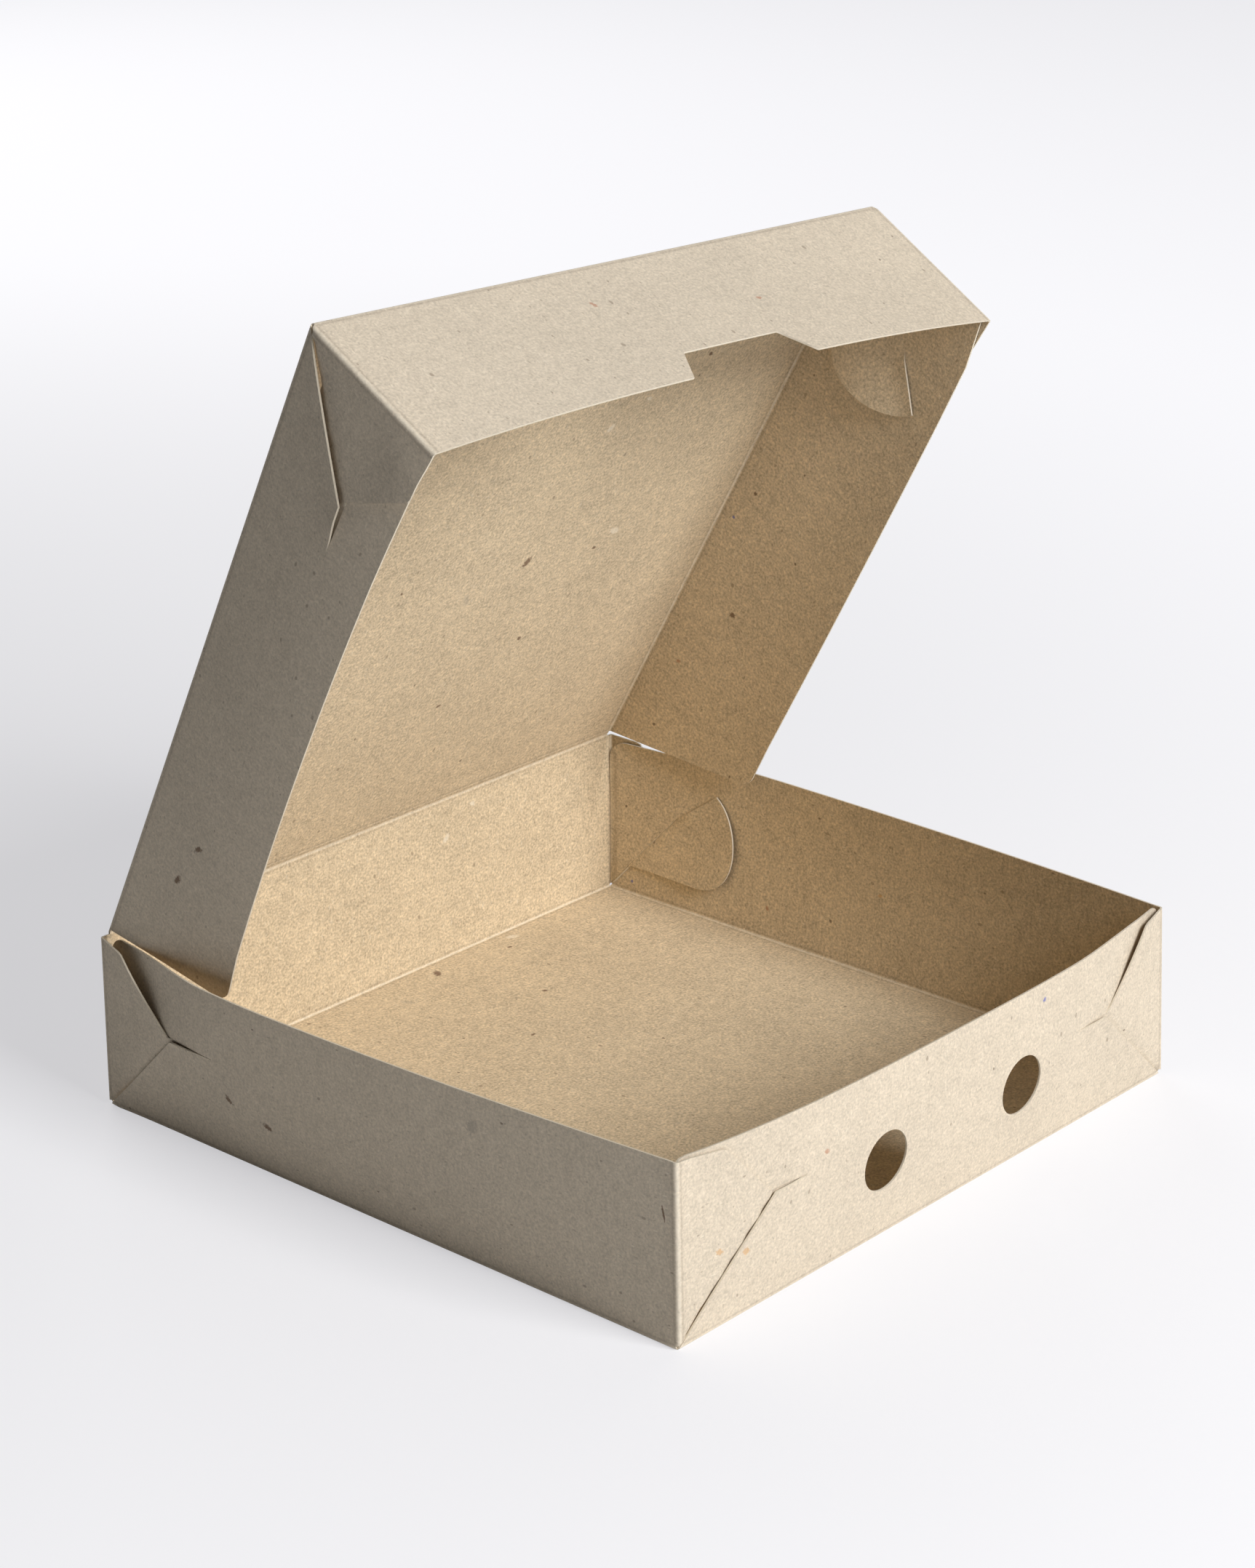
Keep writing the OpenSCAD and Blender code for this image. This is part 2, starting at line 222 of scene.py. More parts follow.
def tab_path(lock, top, low):
    """Outline of a lock tab as (s, h), from its low end at the fold round the tip to its top at the fold."""
    slope, lift = lock.rise / lock.run, SLIT_HALF * math.hypot(lock.run, lock.rise) / lock.run
    start = 1.3
    hook, reach = lock.hook, lock.reach
    ctrl = (8 * reach - 2 * hook[0] + 4) / 6
    tip = curve([(hook[0] - 4, low), (ctrl, low + 1), (ctrl, hook[1] - 8), hook], 22)
    wide, tall = lock.shoulder
    return (
        [(0.25, start), ((start + 0.8 * lift) / slope, start), ((low - 1 + 0.8 * lift) / slope, low - 1),
         ((low + lift) / slope + 0.3, low)]
        + tip
        + [(lock.run + 0.6, lock.rise + 0.5), (lock.run - 1.1, lock.rise + 0.3), (wide, tall),
           (wide - 1.4, tall + 0.5), (0.25, top)]
    )


def resample(path, step, closed=True):
    """The path with extra points so that no straight stretch is longer than step."""
    p = np.array(path, float)
    q = np.roll(p, -1, 0) if closed else p[1:]
    p0 = p if closed else p[:-1]
    n = np.maximum(1, np.ceil(np.hypot(*(q - p0).T) / step).astype(int))
    at = np.repeat(np.arange(len(p0)), n)
    k = np.arange(len(at)) - np.repeat(np.cumsum(n) - n, n)
    out = p0[at] + (q - p0)[at] * (k / n[at])[:, None]
    return out if closed else np.vstack([out, p[-1:]])


def cut_blank(loops, rows, step):
    """Triangles of a flat blank. loops are closed outlines, the rest of them holes; rows are straight lines
    along which the sheet will bend. Grid points fill the inside, and a triangle stays where a ray from
    its middle crosses the outlines an odd number of times."""
    pts, edges, base = [], [], 0
    for loop in loops:
        q = resample(loop, step)
        i = np.arange(len(q)) + base
        pts.append(q)
        edges.append(np.stack([i, np.roll(i, -1)], 1))
        base += len(q)
    outline = [(p, np.roll(p, -1, 0)) for p in pts]
    for row in rows:
        q = resample(row, step, False)
        i = np.arange(len(q) - 1) + base
        pts.append(q)
        edges.append(np.stack([i, i + 1], 1))
        base += len(q)
    fixed, links = np.vstack(pts), np.vstack(edges)
    lo, hi = fixed.min(0), fixed.max(0)
    gx, gy = np.meshgrid(np.arange(lo[0], hi[0], step), np.arange(lo[1], hi[1], step))
    gx = gx + step / 2 * (np.arange(gx.shape[0]) % 2)[:, None]
    grid = np.stack([gx.ravel(), gy.ravel()], 1)
    a, b = fixed[links[:, 0]], fixed[links[:, 1]]
    keep = np.ones(len(grid), bool)
    for part in np.array_split(np.arange(len(grid)), 24):
        g = grid[part][:, None, :]
        t = np.clip(((g - a) * (b - a)).sum(2) / np.maximum(((b - a) ** 2).sum(1), 1e-9), 0, 1)
        keep[part] = (((g - a - t[..., None] * (b - a)) ** 2).sum(2)).min(1) > (0.42 * step) ** 2
    every = np.vstack([fixed, grid[keep]])
    co, _, tri, _, _, _ = delaunay_2d_cdt(
        [Vector(p) for p in every.tolist()], [tuple(e) for e in links.tolist()], [], 0, 1e-5
    )
    co, tri = np.array([tuple(v) for v in co]), np.array([tuple(t) for t in tri])
    mid = co[tri].mean(1)
    odd = np.zeros(len(mid), int)
    for p, q in outline:
        above = (p[None, :, 1] > mid[:, None, 1]) != (q[None, :, 1] > mid[:, None, 1])
        rise = np.where(q[:, 1] == p[:, 1], 1e-12, q[:, 1] - p[:, 1])
        cross = p[:, 0] + (mid[:, None, 1] - p[:, 1]) / rise * (q[:, 0] - p[:, 0])
        odd += (above & (mid[:, None, 0] < cross)).sum(1)
    tri = tri[odd % 2 == 1]
    v = co[tri]
    area = np.cross(v[:, 1] - v[:, 0], v[:, 2] - v[:, 0])
    tri = np.where((area < 0)[:, None], tri[:, ::-1], tri)[np.abs(area) > 1e-7]
    used, tri = np.unique(tri, return_inverse=True)
    return co[used], tri.reshape(-1, 3)


def fold_blank(name, flat, tri, place, crease, thickness):
    """Mesh of the folded sheet. place maps blank points to the middle of the board; its normal is the
    cross product of its two slopes, and both faces lie half the thickness along it. Boundary edges
    get a wall between the faces, so the sheet is closed."""
    e = 1e-3
    p = place(flat)
    du = place(flat + [e, 0]) - place(flat - [e, 0])
    dv = place(flat + [0, e]) - place(flat - [0, e])
    n = np.cross(du, dv)
    n /= np.maximum(np.linalg.norm(n, axis=1, keepdims=True), 1e-12)
    k = len(p)
    co = np.vstack([p + n * thickness / 2, p - n * thickness / 2]) * MM
    side = np.vstack([tri[:, [0, 1]], tri[:, [1, 2]], tri[:, [2, 0]]])
    key = np.sort(side, 1)
    _, first, count = np.unique(key, axis=0, return_index=True, return_counts=True)
    rim = side[first[count == 1]]
    wall = np.stack([rim[:, 0] + k, rim[:, 1] + k, rim[:, 1], rim[:, 0]], 1)
    corners = np.concatenate([tri.ravel(), (tri[:, ::-1] + k).ravel(), wall.ravel()])
    total = np.concatenate([np.full(2 * len(tri), 3), np.full(len(wall), 4)])
    me = bpy.data.meshes.new(name)
    me.vertices.add(len(co))
    me.vertices.foreach_set("co", co.astype(np.float32).ravel())
    me.loops.add(len(corners))
    me.loops.foreach_set("vertex_index", corners.astype(np.int32))
    me.polygons.add(len(total))
    me.polygons.foreach_set("loop_start", (np.cumsum(total) - total).astype(np.int32))
    me.update(calc_edges=True)
    me.validate()
    uv = np.vstack([flat, flat + [1000.0, 0.0]]) * MM
    me.uv_layers.new(name="blank").data.foreach_set("uv", uv[corners].astype(np.float32).ravel())
    cut = np.zeros(len(corners), np.float32)
    cut[6 * len(tri):] = 1
    me.attributes.new("cut", "FLOAT", "CORNER").data.foreach_set("value", cut)
    mark = np.tile(crease(flat), 2).astype(np.float32)
    me.attributes.new("crease", "FLOAT", "POINT").data.foreach_set("value", mark)
    me.polygons.foreach_set("use_smooth", np.ones(len(total), bool))
    me.set_sharp_from_angle(angle=math.radians(60))
    ob = bpy.data.objects.new(name, me)
    bpy.context.scene.collection.objects.link(ob)
    return ob


def fold_rows(at, lo, hi, upright, r):
    """Lines along one fold at the given place, close enough together to round it."""
    offsets = [-1.7, -r, -r / 3, r / 3, r, 1.7]
    return [[(at + c, lo), (at + c, hi)] if upright else [(lo, at + c), (hi, at + c)] for c in offsets]


# how far each top corner of the tray leans, as x and y
LEAN = {(-1, -1): (-0.7, 0.5), (1, -1): (-2.0, 1.2), (-1, 1): (-1.0, -1.6), (1, 1): (0.0, -0.2)}
# the tray's locks; a tab at the rear hooks into its side wall, one at the front into the front wall
TRAY_LOCK = {
    (-1, -1): Lock(32.2, 30.6, 11.7, (16.3, 47.1), drawn=0.1, stand=0.0, tip=0.6, lip=0.85,
                   hook=(48.0, 40.0), reach=54.0),
    (1, -1): Lock(31.0, 29.0, 10.5, (10.5, 47.6), drawn=1.3, stand=0.35, tip=0.6, lip=0.65,
                  hook=(46.0, 39.0), reach=52.0),
    (-1, 1): Lock(30.0, 29.5, 16.5, drawn=2.7, stand=0.8, tip=0.8, lip=0.75, hook=(45.0, 39.0), reach=51.0),
    (1, 1): Lock(drawn=0.3, stand=0.1, tip=1.3, hook=(40.5, 38.5)),
}


def fullness(h, height):
    """Share of a wall's bow at height h: rises fast from the fold and levels off at the rim."""
    t = np.clip(h / height, 0, 1.05)
    return 1 - (1 - np.minimum(t, 1)) ** 2.3


def tray_front(x, h, c):
    """Front wall's shift from its fold: up by h, leaning with its corners, bowed out by one minus the
    cube of the distance from the middle."""
    k = (x + 100) / 200
    lean = [LEAN[-1, -1][i] * (1 - k) + LEAN[1, -1][i] * k for i in (0, 1)]
    out = c["rim_bow"] * (1 - np.clip(np.abs(x - 3) / 98, 0, 1) ** 3) * fullness(h, c["height"])
    for side in (-1, 1):
        out = out + host_push(100 - side * x, h, TRAY_LOCK[side, -1])
    return np.stack([lean[0] * h / 50, lean[1] * h / 50 - out, h - out * np.abs(out) / 110 * h / 50], 1)


def tray_side(side, y, h, c):
    """Side wall's shift from its fold; its bow is fullest behind the middle and eases to both ends."""
    k = (y + 100) / 200
    lean = [LEAN[side, -1][i] * (1 - k) + LEAN[side, 1][i] * k for i in (0, 1)]
    most = np.where(side < 0, 6.0, 4.3)
    t = np.where(y < 30, (30 - y) / 128, (y - 30) / 69)
    out = most * (1 - np.clip(t, 0, 1) ** np.where(y < 30, 1.9, 2.2)) * fullness(h, c["height"])
    out = out + host_push(100 - y, h, TRAY_LOCK[side, 1])
    return np.stack([lean[0] * h / 50 + side * out, lean[1] * h / 50, h - out * np.abs(out) / 110 * h / 50], 1)


def tray_back(x, h):
    """Back wall's shift from its fold: flat, leaning with its corners."""
    k = (x + 100) / 200
    lean = [LEAN[-1, 1][i] * (1 - k) + LEAN[1, 1][i] * k for i in (0, 1)]
    return np.stack([lean[0] * h / 50, lean[1] * h / 50, h], 1)


def two_sides(fun, side, *rest):
    """fun worked out for the left side where side is negative and for the right side elsewhere."""
    return np.where((side < 0)[:, None], fun(-1, *rest), fun(1, *rest))


def place_tray(flat, c):
    """Blank point to the folded tray. Each fold turns the run beyond it into the next panel's shift, so a
    point is its floor place, plus its wall's shift, plus its tab's shift round the corner."""
    a, b = flat[:, 0], flat[:, 1]
    side, wide = np.where(a < 0, -1.0, 1.0), np.abs(a)
    f, e, r = c["fold"], c["fold"] + TAB_GAP, c["radius"]
    beside, behind = wide > f - TURN, b > f - TURN
    fa = np.where(behind, e, f)
    ff = np.where(beside, e, f)
    ua, va = corner(wide - fa, r)
    ub, vb = corner(b - f, r)
    uf, vf = corner(-b - ff, r)
    x, y = side * (fa + ua), np.where(b < 0, -(ff + uf), f + ub)
    p = np.stack([x, y, np.full(len(x), 0.25)], 1)
    none = np.zeros(len(x))

    def side_wall(s, yy, h):
        return tray_side(s, yy, h, c)

    p += np.where(behind, 0, 1)[:, None] * two_sides(side_wall, side, y, va)
    p += np.where(behind, 1, 0)[:, None] * tray_back(x, vb)
    in_front = (b < 0) & ~beside
    p += np.where(in_front, 1, 0)[:, None] * (tray_front(x, vf, c) - tray_front(x, none, c))

    def front_tab(s, v, h):
        xx = s * (f - v)
        q = tray_front(xx, h, c) + host_undo(xx, h)
        q[:, 0] += xx
        q[:, 1] -= tab_push(v + 0.25, h, TRAY_LOCK[s, -1])
        return q

    def back_tab(s, v, h):
        yy = f - v
        q = tray_side(s, yy, h, c)
        q[:, 0] += s * (tab_push(v + 0.25, h, TRAY_LOCK[s, 1]) - host_push(100 - yy, h, TRAY_LOCK[s, 1]))
        q[:, 1] += yy
        return q

    at_front_tab = ((b < 0) & beside)[:, None]
    p += np.where(at_front_tab, two_sides(front_tab, side, vf, va) - two_sides(front_tab, side, none, va), 0)
    p += np.where(behind[:, None], two_sides(back_tab, side, va, vb) - two_sides(back_tab, side, none, vb), 0)
    return p


def host_undo(x, h):
    """Takes the push of the slit's lips out of the front wall again, for the tab that lies on it."""
    push = sum(host_push(100 - s * x, h, TRAY_LOCK[s, -1]) for s in (-1, 1))
    zero = np.zeros_like(x)
    return np.stack([zero, push, zero], 1)


def tray_half(c, side):
    """Outline of one half of the tray's blank, drawn as the right one: front rim, locks, side wall, back."""
    f, top = c["fold"], c["height"] - 0.85
    e = f + TAB_GAP
    front, rear = TRAY_LOCK[side, -1], TRAY_LOCK[side, 1]
    edge = 100 - FREE
    right = [(0, -(f + top))]
    right += arc((edge - 2, -(f + top - 2)), 2, -90, 0, 7)
    right += [(100 - s, -(f + h)) for s, h in slit_path(front)]
    right += [(edge, -edge), (f + 0.8, -edge)]
    right += [(f + h, -(e + s - 0.25)) for s, h in tab_path(front, top, 9)]
    if side > 0:
        right += [(f + top, edge - 25), (f + top - 1.5, edge - 20)]
    right += arc((f + top - (7.5 if side > 0 else 6), edge - 6), 6, 0, 90, 9)
    right += [(f + h, 100 - s) for s, h in slit_path(rear)]
    right += [(edge, edge), (edge, f + 0.8)]
    right += [(e + s - 0.25, f + h) for s, h in tab_path(rear, top, 9)]
    return right + [(0, f + top)]


def tray_outline(c):
    """Outline of the tray's blank: the right half and the mirrored left one, which differ in their locks."""
    left = [(-x, y) for x, y in reversed(tray_half(c, -1))]
    return tray_half(c, 1) + left[1:-1]


def tray_blank(c):
    """Flat tray with its two vent holes, and the rows where it folds."""
    f, r, far = c["fold"], c["radius"], c["fold"] + 52
    e = f + TAB_GAP
    holes = [
        arc((x, -(f + 22.75)), c["vent"] / 2, 0, 360, 57)[:-1] for x in (-25.5, 31.0)
    ]
    rows = []
    for s in (-1, 1):
        rows += fold_rows(s * f, -98.8, 98.8, True, r)
        rows += fold_rows(s * f, -98.8, 98.8, False, r)
        lo, hi = sorted((s * (f + 2), s * far))
        rows += fold_rows(-e, lo, hi, False, r)
        rows += fold_rows(s * e, f + 2, far, True, r)
    return cut_blank([tray_outline(c)] + holes, rows, c["step"])


def tray_crease(flat, c):
    """1 on each fold of the tray, fading over about a millimetre."""
    a, b = np.abs(flat[:, 0]), flat[:, 1]
    f, e = c["fold"], c["fold"] + TAB_GAP
    near = np.where(b > f - 1, np.abs(a - e), np.abs(a - f))
    front = np.where(a > f - 1, np.abs(b + e), np.abs(b + f))
    d = np.minimum(np.minimum(near, front), np.abs(b - f))
    return np.exp(-((d / 1.1) ** 2))


HINGE = np.array([0.0, 99.75, 50.0])
# the lid panel's front corners and the directions of its front wall at both ends
FRONT_CORNER = {-1: (-99.2, 13.0, 227.4), 1: (99.3, 4.0, 223.1)}
FRONT_DOWN = {-1: (-0.0095, -0.8616, -0.5077), 1: (0.0, -0.845, -0.535)}
LID_LOCK = {
    -1: Lock(31.2, 27.6, 16.6, (15.2, 45.3), drawn=0.5, stand=1.2, tip=0.8, lip=1.5, hook=(45.0, 36.0), reach=51.0),
    1: Lock(shoulder=(11.8, 45.3), drawn=0.3, stand=0.0, tip=3.2, hook=(39.5, 39.5), reach=46.5),
}
# depth of the side walls at the hinge, at mid length and at the front
SIDE_TALL = {-1: (43.5, 41.8, 45.0), 1: (49.2, 48.0, 46.7)}
# how far the rear ends of the side walls slant, in degrees
SLANT = {-1: 16.5, 1: 24.3}


def side_tall(side, t, c):
    """Depth of a side wall at t from the hinge: the parabola through its three given depths."""
    rear, mid, front = SIDE_TALL[side]
    k = t / c["length"]
    return rear * (1 - k) * (1 - 2 * k) + 4 * mid * k * (1 - k) + front * k * (2 * k - 1)


def unit(v):
    """v scaled to length 1."""
    v = np.array(v, float)
    return v / np.linalg.norm(v)


def lid_frame(c):
    """Hinge corners, front corners, and the wall directions at the rear and front of both sides."""
    out = {}
    for s in (-1, 1):
        rear = HINGE + [s * c["half"], LEAN[s, 1][1], 0]
        front = np.array(FRONT_CORNER[s])
        along = unit(front - rear)
        down = unit(np.cross([1, 0, 0], along))
        out[s] = rear, front, down, unit(FRONT_DOWN[s])
    return out


def lid_panel(x, t, c):
    """Lid panel: straight lines between the hinge and the front fold, so it carries the photo's twist."""
    g = lid_frame(c)
    k, m = ((x + c["half"]) / (2 * c["half"]))[:, None], (t / c["length"])[:, None]
    rear = g[-1][0] * (1 - k) + g[1][0] * k
    front = g[-1][1] * (1 - k) + g[1][1] * k
    return rear * (1 - m) + front * m


def lid_side(side, t, h, c):
    """Lid side wall's shift from its fold: h along a direction that turns from the rear one to the front
    corner's, bowed out most a little behind the middle."""
    g = lid_frame(c)[side]
    k = (t / c["length"])[:, None]
    way = g[2] * (1 - k) + g[3] * k
    most = np.where(side < 0, 2.2, 1.8)
    bow = most * (1 - np.clip(np.abs(t - 105) / 98, 0, 1) ** 2.2) * np.sin(np.clip(h / 47, 0, 1) * 2.2)
    push = host_push(c["length"] + 0.25 - t, h, LID_LOCK[side])
    q = way * h[:, None]
    q[:, 0] += side * (bow + push)
    return q


def lid_front(x, h, c):
    """Lid front wall's shift from its fold: h down, bowed away from the box towards its free edge."""
    g = lid_frame(c)
    k = ((x + c["half"]) / (2 * c["half"]))[:, None]
    way = g[-1][3] * (1 - k) + g[1][3] * k
    ahead = unit(g[-1][1] - g[-1][0])
    bow = 4.6 * (1 - np.clip(np.abs(x) / c["half"], 0, 1) ** 2.4) * (np.clip(h, 0, 60) / 47) ** 1.4
    return way * h[:, None] + ahead * bow[:, None]


def place_lid(flat, c):
    """Blank point to the open lid, built up in the same way as the tray."""
    a, b = flat[:, 0], flat[:, 1]
    side, wide = np.where(a < 0, -1.0, 1.0), np.abs(a)
    f, e, r, ln = c["half"], c["half"] + TAB_GAP, c["radius"], c["length"]
    ahead = b > ln - TURN
    fa = np.where(ahead, e, f)
    ua, va = corner(wide - fa, r)
    ub, vb = corner(b - ln, r)
    x, t = side * (fa + ua), ln + ub
    none = np.zeros(len(x))
    p = lid_panel(x, t, c)

    def side_wall(s, tt, h):
        return lid_side(s, tt, h, c) - lid_side(s, tt, np.zeros_like(h), c)

    p += np.where(ahead[:, None], 0, two_sides(side_wall, side, t, va))
    p += lid_front(x, vb, c)

    def tab(s, v, h):
        tt = ln - v
        q = lid_panel(np.full(len(tt), s * f), tt, c) + lid_side(s, tt, h, c)
        q[:, 0] += s * (tab_push(v + 0.25, h, LID_LOCK[s]) - host_push(ln + 0.25 - tt, h, LID_LOCK[s]))
        return q

    p += np.where(ahead[:, None], two_sides(tab, side, va, vb) - two_sides(tab, side, none, vb), 0)
    return p


def lid_blank(c):
    """Flat lid: rear edge, slanted side wall ends, locks and the front wall with its finger notch."""
    f, ln, r = c["half"], c["length"], c["radius"]
    e = f + TAB_GAP
    front_tall = 46.5

    def half(side):
        tall, slant = SIDE_TALL[side][0], math.radians(SLANT[side])
        low_b = 1.4 + tall * math.tan(slant)
        mid = (f + tall - 5, low_b + 5 / math.cos(slant) - 5 * math.tan(slant))
        path = [(0, 0.9), (f - 1.2, 0.9), (f + 0.8, 1.4 + 0.8 * math.tan(slant))]
        path += arc(mid, 5, -90 + SLANT[side], 0, 9)
        path += [(f + side_tall(side, t, c), t) for t in np.linspace(mid[1] + 12, ln - 16, 12)]
        path += [(f + side_tall(side, ln, c) - 2.2, ln - FREE + 0.25)]
        path += [(f + h, ln + 0.25 - s) for s, h in slit_path(LID_LOCK[side])]
        path += [(f - FREE + 0.3, ln - FREE + 0.3), (f - FREE + 0.3, ln + 0.8)]
        path += [(e + s - 0.25, ln + h) for s, h in tab_path(LID_LOCK[side], front_tall, 9)]
        return path

    top = ln + front_tall
    notch = [(29.2, top), (23.4, top - 9.5), (-10.4, top - 9.5), (-16.0, top)]
    left = [(-x, y) for x, y in reversed(half(-1))][:-1]
    outline = half(1) + notch + left
    rows = fold_rows(ln, -f + 0.8, f - 0.8, False, r)
    for s in (-1, 1):
        rows += fold_rows(s * f, 1.2, ln - 0.9, True, r)
        rows += fold_rows(s * e, ln + 2, ln + 50, True, r)
    return cut_blank([outline], rows, c["step"])


def lid_crease(flat, c):
    """1 on each fold of the lid, fading over about a millimetre."""
    a, b = np.abs(flat[:, 0]), flat[:, 1]
    f, e, ln = c["half"], c["half"] + TAB_GAP, c["length"]
    near = np.where(b > ln - 1, np.abs(a - e), np.abs(a - f))
    d = np.minimum(np.minimum(near, np.abs(b - ln)), np.abs(b - 0.3))
    return np.exp(-((d / 1.1) ** 2))


def crease_strip(c):
    """Strip of board over the hinge: a path up the back wall, round a small arc and on along the panel,
    carried straight across; its ends lie inside the two sheets' thickness."""
    half = c["half"] - 0.4
    u = np.linspace(-half, half, 81)
    v = np.linspace(-1.9, 1.9, 17)
    uu, vv = np.meshgrid(u, v)
    flat = np.stack([uu.ravel(), vv.ravel()], 1)
    i = np.arange(len(u) - 1)[None, :] + np.arange(len(v) - 1)[:, None] * len(u)
    i = i.ravel()
    n = len(u)
    tri = np.vstack([np.stack([i, i + 1, i + n + 1], 1), np.stack([i, i + n + 1, i + n], 1)])

    def place(q):
        x, w = q[:, 0], q[:, 1]
        k = ((x + c["half"]) / (2 * c["half"]))[:, None]
        g = lid_frame(c)
        pivot = g[-1][0] * (1 - k) + g[1][0] * k
        lower = pivot + tray_back(x, 50 + w) - tray_back(x, np.full(len(x), 50.0))
        upper = lid_panel(x, w, c)
        m = smooth((w + 0.9) / 1.8)[:, None]
        return lower * (1 - m) + upper * m

    return flat, tri, place


def node(tree, kind, **values):
    """A new shader node with the given settings; names of its inputs may be given as values."""
    made = tree.nodes.new(kind)
    for key, value in values.items():
        if hasattr(made, key):
            setattr(made, key, value)
        else:
            made.inputs[key.replace("_", " ")].default_value = value
    return made


def maths(tree, how, a, b=0.5, clamp=False):
    """Output of a Math node on two sockets or numbers."""
    made = node(tree, "ShaderNodeMath", operation=how, use_clamp=clamp)
    for slot, value in zip(made.inputs, (a, b)):
        if isinstance(value, (int, float)):
            slot.default_value = value
        else:
            tree.links.new(value, slot)
    return made.outputs[0]


def mixed(tree, factor, first, second, blend="MIX"):
    """Output of a colour Mix node; factor and colours are sockets or values."""
    made = node(tree, "ShaderNodeMix", data_type="RGBA", blend_type=blend)
    for slot, value in ((made.inputs[0], factor), (made.inputs[6], first), (made.inputs[7], second)):
        if hasattr(value, "is_output"):
            tree.links.new(value, slot)
        else:
            slot.default_value = value
    return made.outputs[2]


def ranged(tree, value, lo, hi, to_lo=0.0, to_hi=1.0):
    """Output of a Map Range node, clamped."""
    made = node(tree, "ShaderNodeMapRange")
    tree.links.new(value, made.inputs["Value"])
    for key, number in (("From Min", lo), ("From Max", hi), ("To Min", to_lo), ("To Max", to_hi)):
        made.inputs[key].default_value = number
    return made.outputs["Result"]


def noise(tree, vector, scale, detail=2.0, rough=0.5, distortion=0.0):
    """Factor of a Noise Texture node."""
    made = node(tree, "ShaderNodeTexNoise", Scale=scale, Detail=detail, Roughness=rough, Distortion=distortion)
    tree.links.new(vector, made.inputs["Vector"])
    return made.outputs["Factor"] if "Factor" in made.outputs else made.outputs["Fac"]


def specks(tree, vector, scale, size, share, stretch=1.0, turn=0.0, seed=0.0):
    """Mask of scattered specks: cells of a Voronoi pattern, a share of them kept by their random colour,
    each a soft blob round its point, drawn out along one direction by stretch."""
    place = node(tree, "ShaderNodeMapping", vector_type="POINT")
    place.inputs["Location"].default_value = (seed, seed * 0.7, 0)
    place.inputs["Rotation"].default_value = (0, 0, turn)
    place.inputs["Scale"].default_value = (1.0, 1.0 / stretch, 1.0)
    tree.links.new(vector, place.inputs["Vector"])
    cells = node(tree, "ShaderNodeTexVoronoi", voronoi_dimensions="2D", feature="F1", Scale=scale)
    tree.links.new(place.outputs[0], cells.inputs["Vector"])
    split = node(tree, "ShaderNodeSeparateColor")
    tree.links.new(cells.outputs["Color"], split.inputs[0])
    kept = maths(tree, "LESS_THAN", split.outputs[0], share)
    reach = ranged(tree, split.outputs[1], 0, 1, size * 0.35, size)
    near = maths(tree, "SUBTRACT", reach, cells.outputs["Distance"])
    blob = maths(tree, "DIVIDE", near, size * 0.3, clamp=True)
    return maths(tree, "MULTIPLY", blob, kept)


def spots(tree, vector, edge, places):
    """Mask of single spots: ellipses at (u, v) with half length, half width and turn, in millimetres and
    degrees, their outline frayed by the edge noise."""
    nearest = None
    for u, v, half_long, half_wide, turn in places:
        place = node(tree, "ShaderNodeMapping", vector_type="TEXTURE")
        place.inputs["Location"].default_value = (u * MM, v * MM, 0)
        place.inputs["Rotation"].default_value = (0, 0, math.radians(turn))
        place.inputs["Scale"].default_value = (half_long * MM, half_wide * MM, 1)
        tree.links.new(vector, place.inputs["Vector"])
        far = node(tree, "ShaderNodeVectorMath", operation="LENGTH")
        tree.links.new(place.outputs[0], far.inputs[0])
        far = far.outputs["Value"]
        nearest = far if nearest is None else maths(tree, "MINIMUM", nearest, far)
    return ranged(tree, maths(tree, "ADD", nearest, edge), 1.25, 0.75)


def shifted(tree, vector, scale, amount):
    """The vector moved about by a noise, so that straight patterns turn wavy."""
    bent = node(tree, "ShaderNodeTexNoise", Scale=scale, Detail=1.0)
    tree.links.new(vector, bent.inputs["Vector"])
    middle = node(tree, "ShaderNodeVectorMath", operation="SUBTRACT")
    middle.inputs[1].default_value = (0.5, 0.5, 0.5)
    tree.links.new(bent.outputs["Color"], middle.inputs[0])
    sized = node(tree, "ShaderNodeVectorMath", operation="SCALE")
    sized.inputs["Scale"].default_value = amount
    tree.links.new(middle.outputs[0], sized.inputs[0])
    moved = node(tree, "ShaderNodeVectorMath", operation="ADD")
    tree.links.new(vector, moved.inputs[0])
    tree.links.new(sized.outputs[0], moved.inputs[1])
    return moved.outputs[0]


# scattered fibres and specks of the pulp: cells per metre, size and share of the cells, how drawn out,
# turn, seed, tint and strength
PULP = (
    (760, 0.13, 0.22, 5.0, 0.5, 3.1, "pale", 0.40),
    (700, 0.12, 0.20, 5.5, 2.2, 7.7, "pale", 0.36),
    (640, 0.12, 0.16, 4.0, 1.3, 5.3, "brown", 0.42),
    (560, 0.11, 0.14, 4.5, -0.6, 9.4, "brown", 0.38),
    (300, 0.10, 0.15, 1.3, 0.9, 12.6, "brown", 0.50),
    (150, 0.085, 0.16, 1.5, 0.3, 15.2, "brown", 0.70),
    (75, 0.035, 0.09, 1.5, 1.9, 18.9, "fleck", 0.70),
)

